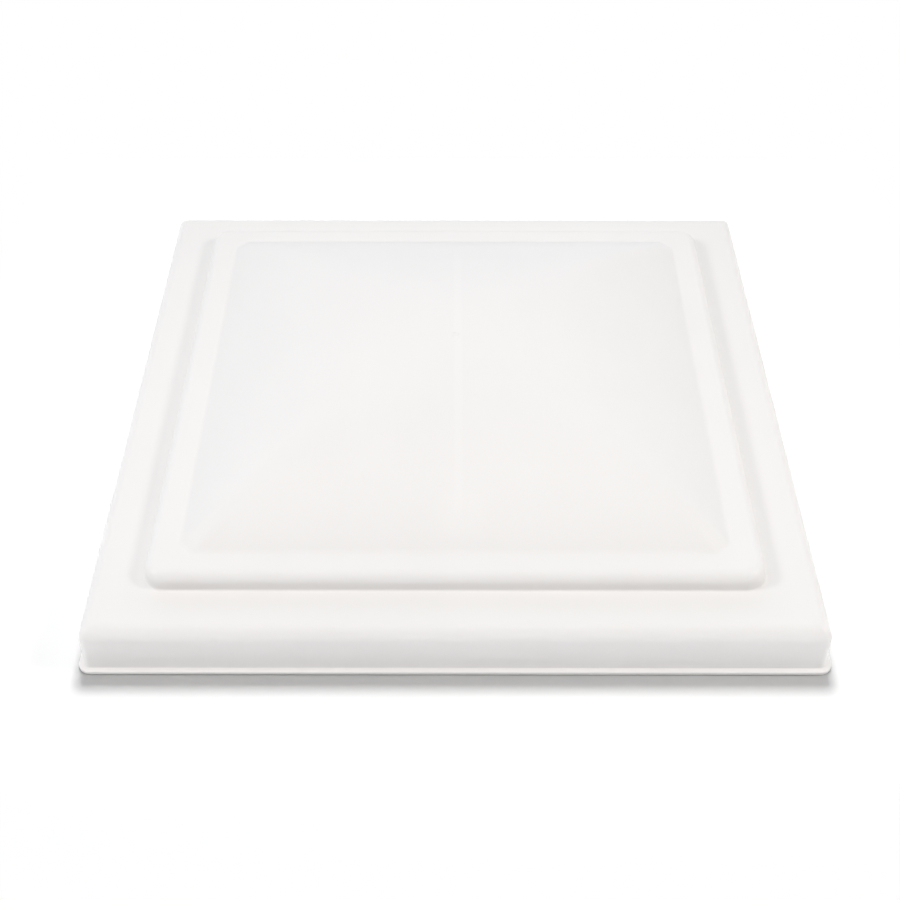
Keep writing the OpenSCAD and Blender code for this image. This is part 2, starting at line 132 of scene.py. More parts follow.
# shares of the dome's half width: rings turn round from one on, points spread evenly from the other on
ROUND_FROM, ROUND_OVER = 0.30, 0.24
EVEN_FROM, EVEN_OVER = 0.45, 0.30
FULL_TURN = 2 * math.pi


def ring(half, corner, z=0.0):
    """Points of a level rounded square, counterclockwise."""
    points = []
    inset = half - corner
    for k in range(4):
        c, s = ((1, 0), (0, 1), (-1, 0), (0, -1))[k]
        quarter = []
        for i in range(CORNER_STEPS + 1):
            a = math.pi / 2 * i / CORNER_STEPS
            quarter.append((inset + corner * math.cos(a), inset + corner * math.sin(a)))
        for i in range(1, SIDE_STEPS):
            quarter.append((inset - 2 * inset * i / SIDE_STEPS, half))
        points += [(c * x - s * y, s * x + c * y, z) for x, y in quarter]
    return points


def arc(cx, cz, radius, first, last, steps):
    """Points of an arc in the profile plane, angles in degrees."""
    out = []
    for i in range(steps + 1):
        a = math.radians(first + (last - first) * i / steps)
        out.append((cx + radius * math.cos(a), cz + radius * math.sin(a)))
    return out


def around(profile, half, corner):
    """Rings for profile points (distance from the middle, z), with corners that stay concentric."""
    return [ring(h, corner - (half - h), z) for h, z in profile]


def mitred(profile, low, high, corner_low, corner_high):
    """Rings for a rounded edge whose sides meet in soft mitres: the corner closes up towards the flat face."""
    rings = []
    for h, z in profile:
        share = (h - low) / (high - low)
        rings.append(ring(h, corner_low + (corner_high - corner_low) * share * share, z))
    return rings


def flat_rings(outer, inner, z, shares):
    """Rings on a level face between two rounded squares (half, corner)."""
    return [
        ring(outer[0] + (inner[0] - outer[0]) * t, outer[1] + (inner[1] - outer[1]) * t, z)
        for t in shares
    ]


def dome_outline(depth, level):
    """Points where a dome face meets a level."""
    out = []
    for x, y, _ in ring(DOME_HALF, DOME_CORNER):
        low, high = 0.8, 1.1
        for _ in range(40):
            middle = (low + high) / 2
            if dome_height(x * middle, y * middle, depth) > level:
                low = middle
            else:
                high = middle
        out.append((x * low, y * low))
    return out


def gate_mark(r):
    """Height of the moulding gate mark at a distance from the middle."""
    def ease(t):
        t = min(max(t, 0), 1)
        return t * t * (3 - 2 * t)

    nub = GATE_HEIGHT * ease((GATE_RADIUS + 0.12 - r) / 0.34)
    dimple = 0.26 * ease((GATE_DIMPLE + 0.1 - r) / 0.3)
    return nub - dimple


def dome_scales(gate):
    """Sizes of a dome's rings, from just outside its foot to its top."""
    steps = [3.0, 2.2, 1.6, 1.1, 0.8, 0.55, 0.35, 0.15, 0.0,
             -0.15, -0.35, -0.55, -0.8, -1.1, -1.6, -2.2, -3.0]
    scales = [1 + d / DOME_HALF for d in steps]
    while scales[-1] > 0.06:
        scales.append(scales[-1] - 0.018)
    radii = [5, 2.5, 1]
    if gate:
        radii = [6.0, 4.5, 3.4, 2.8, 2.5, 2.32, 2.26, 2.2, 2.14, 2.08, 2.02, 1.96, 1.7, 1.3,
                 1.02, 0.98, 0.93, 0.88, 0.83, 0.78, 0.73, 0.68, 0.5, 0.25]
    return scales + [r / DOME_HALF for r in radii]


def dome_rings(depth, level, gate):
    """Rings from just outside a dome's foot to its top, and the point at the top."""
    outline = dome_outline(depth, level)
    count = len(outline)
    sizes = [math.hypot(x, y) for x, y in outline]
    bearings = [math.atan2(y, x) % FULL_TURN for x, y in outline]
    bearings = [b + (FULL_TURN if i > count / 2 and b < 1 else 0) for i, b in enumerate(bearings)]
    wide_bearings = [b + FULL_TURN * k for k in (-1, 0, 1) for b in bearings]
    rings = []
    for t in dome_scales(gate):
        round_share = min(max((ROUND_FROM - t) / ROUND_OVER, 0), 1)
        even_share = min(max((EVEN_FROM - t) / EVEN_OVER, 0), 1)
        loop = []
        for i in range(count):
            even = math.pi / 4 + (i - CORNER_STEPS / 2) * FULL_TURN / count
            bearing = bearings[i] + even_share * (even - bearings[i])
            k = bisect.bisect_right(wide_bearings, bearing)
            before, after = wide_bearings[k - 1], wide_bearings[k]
            share = (bearing - before) / (after - before)
            size = sizes[(k - 1) % count] * (1 - share) + sizes[k % count] * share
            stretch = (1 - round_share) + round_share * DOME_HALF / size
            px = size * t * stretch * math.cos(bearing)
            py = size * t * stretch * math.sin(bearing)
            z = dome_height(px, py, depth)
            if t > 0.9:
                z = soft_max(z, level, CREASE_SOFT)
            if gate:
                z += gate_mark(math.hypot(px, py))
            loop.append((px, py, z))
        rings.append(loop)
    top = dome_height(0, 0, depth) + (gate_mark(0) if gate else 0)
    return rings, (0.0, 0.0, top)


def lid_rings():
    """All rings of the moulded shell, from the top of the hollow, round the lip, to the top of the dome."""
    rings, inner_top = dome_rings(WALL, RIM_UNDER, False)
    rings = rings[::-1]
    inner_step, inner_corner = STEP - WALL, STEP_CORNER - WALL
    inner_edge = STEP_EDGE - WALL
    rings += flat_rings((inner_step - inner_edge - 0.5, inner_corner - inner_edge - 0.5),
                        (inner_step - inner_edge, inner_corner - inner_edge), RIM_UNDER, (0, 0.8))
    rings += around(arc(inner_step - inner_edge, RIM_UNDER - inner_edge, inner_edge, 85, 0, 10),
                    inner_step, inner_corner)
    rings += around([(inner_step, RIM_UNDER - inner_edge - 0.4), (inner_step, DECK_UNDER + 1.0)],
                    inner_step, inner_corner)
    rings += around(arc(inner_step + 0.6, DECK_UNDER + 0.6, 0.6, 180, 270, 6), inner_step, inner_corner)
    seat = SKIRT - DECK_EDGE
    inner_mitre, outer_mitre = 0.8, 1.6
    rings += flat_rings((inner_step + 0.6, inner_corner + 0.6), (seat, inner_mitre), DECK_UNDER,
                        (0.03, 0.2, 0.5, 0.8, 0.985))
    skirt_in = SKIRT - WALL
    rings += mitred(arc(seat, DECK_Z - DECK_EDGE, DECK_EDGE - WALL, 90, 0, 10),
                    seat, skirt_in, inner_mitre, SKIRT_CORNER - WALL)
    rings += around([(skirt_in, 21.0), (skirt_in, 15.0), (skirt_in, 8.0), (skirt_in, 0.9)], SKIRT, SKIRT_CORNER)
    rings += around(arc(skirt_in + 0.4, 0.4, 0.4, 180, 270, 5), SKIRT, SKIRT_CORNER)
    lip_end = SKIRT + LIP_OUT - LIP_EDGE
    rings += around([(skirt_in + 0.7, 0.0), (lip_end - 0.3, 0.0)], SKIRT, SKIRT_CORNER)
    rings += around(arc(lip_end, LIP_EDGE, LIP_EDGE, -90, 0, 7), SKIRT, SKIRT_CORNER)
    rings += around(arc(lip_end, LIP_THICK - LIP_EDGE, LIP_EDGE, 0, 90, 7), SKIRT, SKIRT_CORNER)
    rings += around([(lip_end - 0.2, LIP_THICK), (SKIRT + LIP_FILLET + 0.15, LIP_THICK)], SKIRT, SKIRT_CORNER)
    rings += around(arc(SKIRT + LIP_FILLET, LIP_THICK + LIP_FILLET, LIP_FILLET, 270, 180, 8), SKIRT, SKIRT_CORNER)
    rings += around([(SKIRT, 3.0), (SKIRT, 9.0), (SKIRT, 15.0), (SKIRT, 21.0)], SKIRT, SKIRT_CORNER)
    rings += mitred(arc(seat, DECK_Z - DECK_EDGE, DECK_EDGE, 0, 90, 18), seat, SKIRT, outer_mitre, SKIRT_CORNER)
    foot = (STEP + STEP_FOOT, STEP_CORNER + STEP_FOOT)
    rings += flat_rings((seat, outer_mitre), foot, DECK_Z, (0.015, 0.08, 0.25, 0.5, 0.75, 0.92, 0.985))
    rings += around(arc(STEP + STEP_FOOT, DECK_Z + STEP_FOOT, STEP_FOOT, 270, 180, 10), STEP, STEP_CORNER)
    rings += around([(STEP, DECK_Z + STEP_FOOT + 0.3), (STEP, RIM_Z - STEP_EDGE - 0.3)], STEP, STEP_CORNER)
    rings += around(arc(STEP - STEP_EDGE, RIM_Z - STEP_EDGE, STEP_EDGE, 0, 90, 14), STEP, STEP_CORNER)
    rim = (STEP - STEP_EDGE, STEP_CORNER - STEP_EDGE)
    rings += flat_rings(rim, (DOME_HALF + 3.2, DOME_CORNER + 1), RIM_Z, (0.04, 0.2, 0.5, 0.8))
    outer, outer_top = dome_rings(0.0, RIM_Z, True)
    return inner_top, rings + outer, outer_top


def build_lid():
    inner_top, rings, outer_top = lid_rings()
    count = len(rings[0])
    verts = [inner_top] + [p for loop in rings for p in loop] + [outer_top]
    faces = []
    for j in range(count):
        faces.append((0, 1 + (j + 1) % count, 1 + j))
    for i in range(len(rings) - 1):
        a, b = 1 + i * count, 1 + (i + 1) * count
        for j in range(count):
            k = (j + 1) % count
            faces.append((a + j, a + k, b + k, b + j))
    last = 1 + (len(rings) - 1) * count
    for j in range(count):
        faces.append((last + j, last + (j + 1) % count, len(verts) - 1))
    return make_object("lid_skin", verts, faces, "lid")


def loft(sections):
    """Closed mesh through loops of the same number of points."""
    count = len(sections[0])
    verts = [p for loop in sections for p in loop]
    faces = []
    for i in range(len(sections) - 1):
        for j in range(count):
            k = (j + 1) % count
            faces.append((i * count + j, i * count + k, (i + 1) * count + k, (i + 1) * count + j))
    faces.append(tuple(range(count)))
    faces.append(tuple(range((len(sections) - 1) * count, len(sections) * count)))
    return verts, faces


def join(parts):
    """Several (verts, faces) lists as one."""
    verts, faces = [], []
    for v, f in parts:
        start = len(verts)
        verts += v
        faces += [tuple(i + start for i in face) for face in f]
    return verts, faces


def rib_section(root, place):
    """Cross-section of a moulded rib that widens where it meets the dome."""
    low = TRACK_TOP
    side = [(0.72, low), (0.92, low + 0.08), (1.0, low + 0.3)]
    for width, drop in ((1.0, 0.95), (1.06, 0.6), (1.22, 0.3), (1.5, 0.1), (1.95, -0.02), (1.95, -0.9)):
        side.append((width, max(root - drop, low + 0.3 + 0.02 * width)))
    loop = side + [(-w, z) for w, z in reversed(side)]
    return [place(w, z) for w, z in loop]


def build_ribs():
    """Spine rib and the two cross ribs between the screw bosses."""
    parts = []
    reach = END_ARCH.reach(TRACK_TOP - 0.5 - DOME_TOP, WALL)
    spine = []
    for i in range(121):
        y = -reach + 2 * reach * i / 120
        spine.append(rib_section(dome_height(0, y, WALL), lambda w, z, y=y: (w, y, z)))
    parts.append(loft(spine))
    for y in (-SCREW_Y, SCREW_Y):
        cross = []
        for i in range(13):
            x = -SCREW_X + 2 * SCREW_X * i / 12
            lean = -math.copysign(0.36, y)

            def place(w, z, x=x, y=y, lean=lean):
                return x, y - w, z - (w * lean if z > TRACK_TOP + 2 else 0)

            cross.append(rib_section(dome_height(x, y, WALL), place))
        parts.append(loft(cross))
    return make_object("dome_ribs", *join(parts), "lid")


def build_bosses():
    """Screw bosses under the dome, each with its pilot hole."""
    turns = 48
    parts = []
    for bx in (-SCREW_X, SCREW_X):
        for by in (-SCREW_Y, SCREW_Y):
            profile = [(1.65, TRACK_TOP + 5.8, None), (1.65, TRACK_TOP + 0.4, None), (1.8, TRACK_TOP + 0.1, None),
                       (2.0, TRACK_TOP, None), (4.1, TRACK_TOP, None), (4.4, TRACK_TOP + 0.1, None),
                       (4.5, TRACK_TOP + 0.4, None), (4.5, None, -1.1), (4.56, None, -0.7), (4.72, None, -0.35),
                       (5.0, None, -0.12), (5.5, None, 0.04), (5.5, None, 0.9)]
            loops = []
            for r, z, rise in profile:
                loop = []
                for i in range(turns):
                    a = 2 * math.pi * i / turns
                    x, y = bx + r * math.cos(a), by + r * math.sin(a)
                    loop.append((x, y, z if z is not None else dome_height(x, y, WALL) + rise))
                loops.append(loop)
            parts.append(loft(loops))
    return make_object("screw_bosses", *join(parts), "lid")


def build_guides():
    """Guide ribs inside the right, left and front skirts."""
    bm = bmesh.new()
    profile = [(189.6, 2.2), (188.5, 2.2), (184.0, 9.2), (184.0, 27.2), (186.2, 27.2), (189.6, 21.8)]
    for c, s in ((1, 0), (-1, 0), (0, -1)):
        for place in GUIDE_PLACES:
            ends = []
            for side in (-GUIDE_HALF, GUIDE_HALF):
                loop = []
                for h, z in profile:
                    x, y = h, place + side
                    loop.append(bm.verts.new(((c * x - s * y) * MM, (s * x + c * y) * MM, z * MM)))
                ends.append(loop)
            bm.faces.new(ends[0])
            bm.faces.new(ends[1])
            for i in range(len(profile)):
                k = (i + 1) % len(profile)
                bm.faces.new((ends[0][i], ends[0][k], ends[1][k], ends[1][i]))
    bmesh.ops.recalc_face_normals(bm, faces=bm.faces)
    bmesh.ops.bevel(bm, geom=list(bm.edges), offset=GUIDE_EDGE * MM, segments=3, profile=0.5, affect="EDGES")
    mesh = bpy.data.meshes.new("guide_ribs")
    bm.to_mesh(mesh)
    bm.free()
    mesh.polygons.foreach_set("use_smooth", [True] * len(mesh.polygons))
    mesh.set_sharp_from_angle(angle=math.radians(40))
    obj = bpy.data.objects.new("guide_ribs", mesh)
    SCENE.collection.objects.link(obj)
    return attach(obj, "lid")


# ---------------------------------------------------------------- foam seals
def build_seal(name, length, place, phase):
    """Foam strip with a crowned lower face, stuck under the deck. place turns (along, across, z) into a point."""
    top, low = DECK_UNDER, SEAL_LOW
    sections = []
    stops = [0.0, 0.12, 0.35, 0.8, 1.4, 2.2]
    inner = [2.2 + (2 * length - 4.4) * i / 180 for i in range(1, 180)]
    along = stops + inner + [2 * length - s for s in reversed(stops)]
    for a in along:
        u = a - length
        end = min(a, 2 * length - a)
        shrink = 0.55 * (1 - min(end / 1.4, 1)) ** 2
        wave = 0.09 * math.sin(u / 17 + phase) + 0.06 * math.sin(u / 7.3 + 2 * phase)
        sag = 0.10 * math.sin(u / 23 + 1.7 * phase) + 0.05 * math.sin(u / 9.1 + phase)
        half = 4.83 + 0.5 * wave - shrink
        shift = 0.5 * wave
        bottom = low + 0.15 + sag + shrink * 0.8
        loop = [(half - 0.12, top), (half, top - 0.25), (half - 0.1, top - 1.6), (half - 0.12, top - 2.9)]
        for step in range(9):
            t = math.radians(90 * step / 8)
            loop.append((half - 0.12 - 2.1 + 2.1 * math.cos(t), bottom + 0.42 + 1.75 - 1.75 * math.sin(t)))
        for share in (0.8, 0.55, 0.28):
            edge = half - 2.22
            loop.append((edge * share, bottom + 0.42 * share**2))
        loop = loop + [(0.0, bottom)] + [(-w, z) for w, z in reversed(loop)]
        sections.append([place(u, w + shift, z) for w, z in loop])
    obj = make_object(name + "_foam", *loft(sections), "lid")
    obj.data.set_sharp_from_angle(angle=math.radians(60))
    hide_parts(name)
    return obj


# ---------------------------------------------------------------- materials
def link_value(tree, socket, value):
    if isinstance(value, bpy.types.NodeSocket):
        tree.links.new(value, socket)
    else:
        socket.default_value = value


def node(tree, kind, inputs=(), **settings):
    """A shader node with its settings, and its inputs linked or set."""
    made = tree.nodes.new(kind)
    for key, value in settings.items():
        setattr(made, key, value)
    for key, value in dict(inputs).items():
        link_value(tree, made.inputs[key], value)
    return made


def math_node(tree, operation, a, b=None, clamp=False):
    inputs = {0: a} if b is None else {0: a, 1: b}
    return node(tree, "ShaderNodeMath", inputs, operation=operation, use_clamp=clamp).outputs[0]


def noise(tree, coord, scale, detail=2.0, rough=0.5):
    inputs = {"Vector": coord, "Scale": scale, "Detail": detail, "Roughness": rough}
    return node(tree, "ShaderNodeTexNoise", inputs).outputs["Fac"]


def span(tree, value, low, high, to_low, to_high):
    """Maps a range smoothly to another."""
    return node(
        tree, "ShaderNodeMapRange",
        {"Value": value, "From Min": low, "From Max": high, "To Min": to_low, "To Max": to_high},
        interpolation_type="SMOOTHSTEP",
    ).outputs["Result"]


def mix(tree, factor, a, b):
    made = node(tree, "ShaderNodeMix", data_type="RGBA")
    link_value(tree, made.inputs["Factor"], factor)
    link_value(tree, made.inputs[6], a if isinstance(a, bpy.types.NodeSocket) else (*a, 1.0))
    link_value(tree, made.inputs[7], b if isinstance(b, bpy.types.NodeSocket) else (*b, 1.0))
    return made.outputs[2]


def bump(tree, height, strength, distance, normal=None):
    inputs = {"Height": height, "Strength": strength, "Distance": distance}
    if normal is not None:
        inputs["Normal"] = normal
    return node(tree, "ShaderNodeBump", inputs).outputs["Normal"]


def start(name):
    """A new material: its tree, its shader and its object coordinates, which are metres in the row frame."""
    made = bpy.data.materials.new(name)
    made.use_nodes = True
    tree = made.node_tree
    coord = node(tree, "ShaderNodeTexCoord").outputs["Object"]
    return made, tree, tree.nodes["Principled BSDF"], coord


def stretched(tree, coord, x, y, z):
    return node(tree, "ShaderNodeMapping", {"Vector": coord, "Scale": (x, y, z)}).outputs["Vector"]


def white_moulding():
    made, tree, shader, coord = start("white_moulding")
    xyz = node(tree, "ShaderNodeSeparateXYZ", {"Vector": coord})
    x, y, z = xyz.outputs
    broad = noise(tree, coord, 7.0, 3.0)
    flow = noise(tree, stretched(tree, coord, 40, 14, 40), 1.0, 3.0)
    colour = mix(tree, span(tree, broad, 0.35, 0.65, 0, 1), (0.862, 0.847, 0.831), (0.872, 0.857, 0.840))
    colour = mix(tree, span(tree, flow, 0.4, 0.7, 0, 0.35), colour, (0.878, 0.864, 0.848))
    # painted light: the spine rib and the front boss read through the translucent wall as paler places, where more
    # light scatters back through the thicker wall
    off = math_node(tree, "ABSOLUTE", math_node(tree, "SUBTRACT", x, 0.0018))
    line = span(tree, off, 0.0014, 0.0030, 1, 0)
    along = math_node(tree, "MULTIPLY", span(tree, y, -0.132, -0.118, 0, 1), span(tree, y, 0.094, 0.112, 1, 0))
    high = span(tree, z, 0.040, 0.0435, 0, 1)
    read_through_light = math_node(tree, "MULTIPLY", math_node(tree, "MULTIPLY", line, along), high)
    pad_x = math_node(tree, "ABSOLUTE", math_node(tree, "SUBTRACT", x, 0.004))
    pad_y = math_node(tree, "ABSOLUTE", math_node(tree, "ADD", y, 0.124))
    pad_light = math_node(tree, "MULTIPLY", span(tree, pad_x, 0.006, 0.017, 1, 0), span(tree, pad_y, 0.006, 0.016, 1, 0))
    pad_light = math_node(tree, "MULTIPLY", pad_light, high)
    # painted light: paler colour over the spine rib and the front boss
    colour = mix(tree, math_node(tree, "MULTIPLY", read_through_light, 0.28), colour, (0.905, 0.890, 0.872))
    colour = mix(tree, math_node(tree, "MULTIPLY", pad_light, 0.24), colour, (0.905, 0.890, 0.872))
    # handling marks on the lip and faint specks
    scuff = noise(tree, stretched(tree, coord, 90, 90, 260), 1.0, 5.0, 0.65)
    low = span(tree, z, 0.0005, 0.0035, 1, 0)
    scuffed = math_node(tree, "MULTIPLY", span(tree, scuff, 0.55, 0.72, 0, 0.35), low)
    colour = mix(tree, scuffed, colour, (0.79, 0.775, 0.755))
    speck = noise(tree, coord, 420.0, 1.0)
    colour = mix(tree, span(tree, speck, 0.74, 0.80, 0, 0.10), colour, (0.70, 0.69, 0.67))
    tree.links.new(colour, shader.inputs["Base Color"])
    # satin finish, a little more polished along the edges
    gloss = noise(tree, coord, 34.0, 4.0)
    rough = span(tree, gloss, 0.3, 0.7, 0.31, 0.39)
    point = node(tree, "ShaderNodeNewGeometry").outputs["Pointiness"]
    edge = span(tree, point, 0.51, 0.56, 0, 0.10)
    tree.links.new(math_node(tree, "SUBTRACT", rough, edge), shader.inputs["Roughness"])
    normal = bump(tree, noise(tree, coord, 18.0, 2.0), 0.25, 0.0006)
    normal = bump(tree, noise(tree, coord, 1300.0, 2.0), 0.12, 0.00006, normal)
    tree.links.new(normal, shader.inputs["Normal"])
    shader.inputs["IOR"].default_value = 1.49
    shader.inputs["Specular IOR Level"].default_value = 0.38
    return made


def foam():
    made, tree, shader, coord = start("foam")
    cells = node(tree, "ShaderNodeTexVoronoi",
                 {"Vector": coord, "Scale": 1500.0, "Randomness": 1.0}).outputs["Distance"]
    grain = noise(tree, coord, 620.0, 4.0, 0.6)
    dust = noise(tree, coord, 55.0, 4.0, 0.6)
    colour = mix(tree, span(tree, cells, 0.1, 0.6, 0, 1), (0.020, 0.020, 0.021), (0.052, 0.052, 0.054))
    colour = mix(tree, span(tree, grain, 0.55, 0.8, 0, 0.5), colour, (0.085, 0.084, 0.083))
    colour = mix(tree, span(tree, dust, 0.55, 0.8, 0, 0.22), colour, (0.14, 0.135, 0.128))
    tree.links.new(colour, shader.inputs["Base Color"])
    tree.links.new(span(tree, grain, 0.3, 0.7, 0.78, 0.95), shader.inputs["Roughness"])
    normal = bump(tree, cells, 0.7, 0.0003)
    normal = bump(tree, grain, 0.5, 0.0003, normal)
    tree.links.new(normal, shader.inputs["Normal"])
    shader.inputs["Specular IOR Level"].default_value = 0.3
    return made


def zinc_steel():
    made, tree, shader, coord = start("zinc_steel")
    cloud = noise(tree, coord, 75.0, 4.0, 0.6)
    drawn = noise(tree, stretched(tree, coord, 900, 30, 900), 1.0, 3.0)
    spangle = node(tree, "ShaderNodeTexVoronoi", {"Vector": coord, "Scale": 330.0}).outputs["Color"]
    tone = node(tree, "ShaderNodeSeparateColor", {"Color": spangle}).outputs[0]
    colour = mix(tree, span(tree, cloud, 0.3, 0.7, 0, 1), (0.56, 0.57, 0.585), (0.70, 0.70, 0.695))
    colour = mix(tree, span(tree, tone, 0.0, 1.0, 0.0, 0.25), colour, (0.76, 0.765, 0.775))
    stain = noise(tree, coord, 28.0, 5.0, 0.65)
    colour = mix(tree, span(tree, stain, 0.58, 0.78, 0, 0.35), colour, (0.60, 0.57, 0.50))
    tree.links.new(colour, shader.inputs["Base Color"])
    rough = math_node(tree, "ADD", span(tree, cloud, 0.3, 0.7, 0.28, 0.42), span(tree, drawn, 0.3, 0.7, -0.04, 0.06))
    tree.links.new(rough, shader.inputs["Roughness"])
    normal = bump(tree, drawn, 0.12, 0.00008)
    normal = bump(tree, noise(tree, coord, 260.0, 3.0), 0.1, 0.0002, normal)
    tree.links.new(normal, shader.inputs["Normal"])
    shader.inputs["Metallic"].default_value = 1.0
    return made


def bright_steel():
    made, tree, shader, coord = start("bright_steel")
    turned = noise(tree, stretched(tree, coord, 2600, 120, 120), 1.0, 3.0)
    cloud = noise(tree, coord, 180.0, 4.0, 0.6)
    colour = mix(tree, span(tree, cloud, 0.3, 0.7, 0, 1), (0.52, 0.52, 0.53), (0.66, 0.66, 0.665))
    grime = noise(tree, coord, 520.0, 3.0, 0.6)
    colour = mix(tree, span(tree, grime, 0.60, 0.78, 0, 0.4), colour, (0.34, 0.33, 0.32))
    tree.links.new(colour, shader.inputs["Base Color"])
    tree.links.new(span(tree, turned, 0.25, 0.75, 0.20, 0.36), shader.inputs["Roughness"])
    tree.links.new(bump(tree, turned, 0.15, 0.00006), shader.inputs["Normal"])
    shader.inputs["Metallic"].default_value = 1.0
    return made


def rivet_aluminium():
    made, tree, shader, coord = start("rivet_aluminium")
    cloud = noise(tree, coord, 240.0, 4.0, 0.6)
    nick = noise(tree, coord, 900.0, 4.0, 0.7)
    colour = mix(tree, span(tree, cloud, 0.3, 0.7, 0, 1), (0.70, 0.70, 0.705), (0.80, 0.80, 0.80))
    colour = mix(tree, span(tree, nick, 0.62, 0.80, 0, 0.5), colour, (0.48, 0.475, 0.46))
    tree.links.new(colour, shader.inputs["Base Color"])
    tree.links.new(span(tree, cloud, 0.3, 0.7, 0.30, 0.46), shader.inputs["Roughness"])
    tree.links.new(bump(tree, nick, 0.15, 0.0001), shader.inputs["Normal"])
    shader.inputs["Metallic"].default_value = 1.0
    return made


def nylon():
    made, tree, shader, coord = start("nylon")
    cloud = noise(tree, coord, 90.0, 4.0, 0.55)
    rub = noise(tree, stretched(tree, coord, 700, 40, 700), 1.0, 4.0, 0.6)
    colour = mix(tree, span(tree, cloud, 0.3, 0.7, 0, 1), (0.74, 0.715, 0.645), (0.80, 0.78, 0.71))
    colour = mix(tree, span(tree, rub, 0.56, 0.76, 0, 0.30), colour, (0.56, 0.54, 0.50))
    tree.links.new(colour, shader.inputs["Base Color"])
    tree.links.new(span(tree, rub, 0.3, 0.7, 0.36, 0.52), shader.inputs["Roughness"])
    normal = bump(tree, noise(tree, coord, 1100.0, 3.0), 0.15, 0.00008)
    tree.links.new(normal, shader.inputs["Normal"])
    shader.inputs["IOR"].default_value = 1.53
    return made


# ---------------------------------------------------------------- the lid
WHITE, FOAM, ZINC = white_moulding(), foam(), zinc_steel()
BRIGHT, ALUMINIUM, NYLON = bright_steel(), rivet_aluminium(), nylon()

for piece in (build_lid(), build_ribs(), build_bosses(), build_guides()):
    piece.data.materials.append(WHITE)
    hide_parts("lid_shell")

MIDDLE = (SEAL_IN + SEAL_OUT) / 2
for strip in (
    build_seal("seal_front", SEAL_OUT - 0.05, lambda u, w, z: (u, -MIDDLE + w, z), 0.4),
    build_seal("seal_rear", SEAL_OUT - 0.05, lambda u, w, z: (u, MIDDLE + w, z), 2.1),
    build_seal("seal_left", SEAL_IN - 0.02, lambda u, w, z: (-MIDDLE + w, u, z), 3.3),
    build_seal("seal_right", SEAL_IN - 0.02, lambda u, w, z: (MIDDLE + w, u, z), 5.0),
):
    strip.data.materials.append(FOAM)

for name, finish in {
    "hinge_lid_leaf": ZINC,
    "hinge_base_leaf": ZINC,
    "lift_track": ZINC,
    "hinge_pin": BRIGHT,
    "track_screws": BRIGHT,
    "arm_stud": BRIGHT,
    "hinge_rivets": ALUMINIUM,
    "slide_shoe": NYLON,
}.items():
    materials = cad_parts[name].data.materials
    materials.clear()
    materials.append(finish)


# ---------------------------------------------------------------- floor, light and camera
def light_path(tree):
    """1 for rays that see the background straight, in a reflection or through something clear."""
    path = node(tree, "ShaderNodeLightPath").outputs
    seen = math_node(tree, "MAXIMUM", path["Is Camera Ray"], path["Is Glossy Ray"])
    return math_node(tree, "MAXIMUM", seen, path["Is Transmission Ray"])


def build_floor():
    mesh = bpy.data.meshes.new("floor")
    size = 8.0
    mesh.from_pydata([(-size, -size, 0), (size, -size, 0), (size, size, 0), (-size, size, 0)], [], [(0, 1, 2, 3)])
    mesh.update()
    obj = bpy.data.objects.new("floor", mesh)
    SCENE.collection.objects.link(obj)
    obj.location.z = -0.0002
    made, tree, shader, coord = start("floor")
    tree.nodes.remove(shader)
    out = tree.nodes["Material Output"]
    xyz = node(tree, "ShaderNodeSeparateXYZ", {"Vector": coord})
    grain = noise(tree, coord, 6.0, 2.0)
    bounce_colour = mix(tree, grain, (0.456, 0.461, 0.469), (0.464, 0.469, 0.477))
    near_colour = mix(tree, grain, (0.386, 0.386, 0.387), (0.394, 0.394, 0.395))
    bounce = node(tree, "ShaderNodeBsdfDiffuse", {"Color": bounce_colour})
    near = node(tree, "ShaderNodeBsdfDiffuse", {"Color": near_colour})
    white = node(tree, "ShaderNodeEmission", {"Color": (1, 1, 1, 1), "Strength": 1.0})
    out_x, out_y = (math_node(tree, "ABSOLUTE", xyz.outputs[axis]) for axis in (0, 1))
    reach = math_node(tree, "MAXIMUM", out_x, out_y)
    far = span(tree, reach, 0.22, 0.32, 0, 1)
    seen = node(tree, "ShaderNodeMixShader", {0: far, 1: near.outputs[0], 2: white.outputs[0]})
    both = node(tree, "ShaderNodeMixShader", {0: light_path(tree), 1: bounce.outputs[0], 2: seen.outputs[0]})
    tree.links.new(both.outputs[0], out.inputs["Surface"])
    mesh.materials.append(made)
    return obj


def sky_shares(tree):
    """Share of each part of the sky in a direction: bands from the horizon up, split by side, and the zenith."""
    way = node(tree, "ShaderNodeSeparateXYZ", {"Vector": node(tree, "ShaderNodeTexCoord").outputs["Generated"]})
    x, y, z = way.outputs
    level = math_node(tree, "MAXIMUM", math_node(tree, "SUBTRACT", 1.0, math_node(tree, "MULTIPLY", z, z)), 0.0001)
    sides = {}
    for name, axis, sign in (("front", y, -1.0), ("back", y, 1.0), ("left", x, -1.0), ("right", x, 1.0)):
        toward = math_node(tree, "MAXIMUM", math_node(tree, "MULTIPLY", axis, sign), 0.0)
        sides[name] = math_node(tree, "DIVIDE", math_node(tree, "MULTIPLY", toward, toward), level)
    ups = [span(tree, z, low, high, 0, 1) for low, high in ((0.10, 0.37), (0.37, 0.70), (0.70, 0.95))]
    bands = {"base": math_node(tree, "SUBTRACT", 1.0, ups[0]),
             "low": math_node(tree, "SUBTRACT", ups[0], ups[1]),
             "mid": math_node(tree, "SUBTRACT", ups[1], ups[2])}
    shares = {"zenith": ups[2]}
    for band, amount in bands.items():
        for side, part in sides.items():
            shares[band + "_" + side] = math_node(tree, "MULTIPLY", amount, part)
    return shares


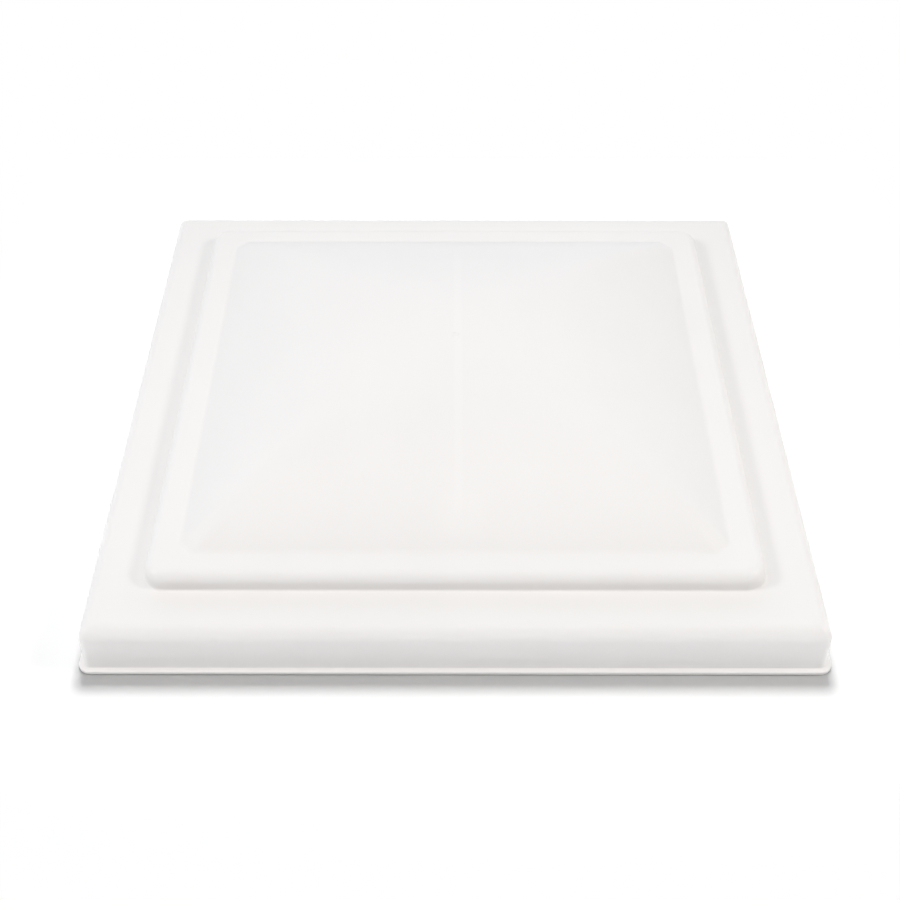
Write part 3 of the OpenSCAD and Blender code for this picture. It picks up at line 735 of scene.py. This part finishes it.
def build_world(levels):
    """Soft light whose colour changes from one part of the sky to the next."""
    world = bpy.data.worlds.new("studio")
    world.use_nodes = True
    tree = world.node_tree
    shares = sky_shares(tree)
    total = None
    for name, level in levels.items():
        scaled = node(tree, "ShaderNodeVectorMath", {0: level, "Scale": shares[name]}, operation="SCALE")
        part = scaled.outputs[0]
        if total is not None:
            part = node(tree, "ShaderNodeVectorMath", {0: total, 1: part}, operation="ADD").outputs[0]
        total = part
    lit = tree.nodes["Background"]
    tree.links.new(total, lit.inputs["Color"])
    lit.inputs["Strength"].default_value = 1.0
    white = node(tree, "ShaderNodeBackground", {"Color": (1, 1, 1, 1), "Strength": 1.0})
    both = node(tree, "ShaderNodeMixShader", {0: light_path(tree), 1: lit.outputs[0], 2: white.outputs[0]})
    tree.links.new(both.outputs[0], tree.nodes["World Output"].inputs["Surface"])
    SCENE.world = world


def build_lamp(name, place, target, size, level, tint=(1.0, 1.0, 1.0)):
    """Square soft lamp that adds a level of light at its target."""
    lamp = bpy.data.lights.new(name, "AREA")
    lamp.shape = "SQUARE"
    lamp.size = size
    lamp.color = tint
    way = Vector(target) - Vector(place)
    lamp.energy = level * math.pi**2 * way.length_squared
    obj = bpy.data.objects.new(name, lamp)
    obj.location = place
    obj.rotation_euler = way.to_track_quat("-Z", "Y").to_euler()
    SCENE.collection.objects.link(obj)
    return obj


FLOOR = build_floor()
build_world({
    "zenith": (0.29, 0.30, 0.31),
    "mid_front": (1.96, 1.92, 1.97), "mid_back": (0.28, 0.28, 0.28),
    "mid_left": (0.04, 0.04, 0.04), "mid_right": (0.06, 0.06, 0.05),
    "low_front": (0.18, 0.17, 0.16), "low_back": (1.84, 1.95, 2.10),
    "low_left": (0.68, 0.72, 0.76), "low_right": (0.58, 0.56, 0.53),
    "base_front": (0.02, 0.02, 0.02), "base_back": (0.50, 0.62, 0.85),
    "base_left": (0.27, 0.34, 0.36), "base_right": (0.30, 0.31, 0.29),
})
LID_MIDDLE = (0.0, 0.0, 0.03)
build_lamp("overhead", (0.0, -0.14, 1.05), LID_MIDDLE, 0.70, 0.186)

# two side lamps, whose shadows darken the deck beside the step
build_lamp("side_left", (-1.0, -0.22, 0.93), LID_MIDDLE, 0.32, 0.276, (1.0, 0.98, 0.96))
build_lamp("side_right", (1.0, -0.22, 0.93), LID_MIDDLE, 0.32, 0.264, (1.0, 0.97, 0.93))

# a lamp behind that only brightens the floor, so that the shadow falls in front
floor_lamp = build_lamp("floor_back", (0.0, 0.63, 1.50), (0, -0.19, 0.0), 0.47, 1.84)
only_floor = bpy.data.collections.new("only_floor")
only_floor.objects.link(FLOOR)
floor_lamp.light_linking.receiver_collection = only_floor

camera = bpy.data.objects.new("camera", bpy.data.cameras.new("camera"))
camera.data.lens = 58.92
camera.data.sensor_width = 36.0
camera.location = (-0.0020, -0.6806, 0.5899)
camera.rotation_euler = (math.radians(48.21), 0.0, math.radians(0.07))
SCENE.collection.objects.link(camera)
SCENE.camera = camera
SCENE.view_settings.view_transform = "Standard"
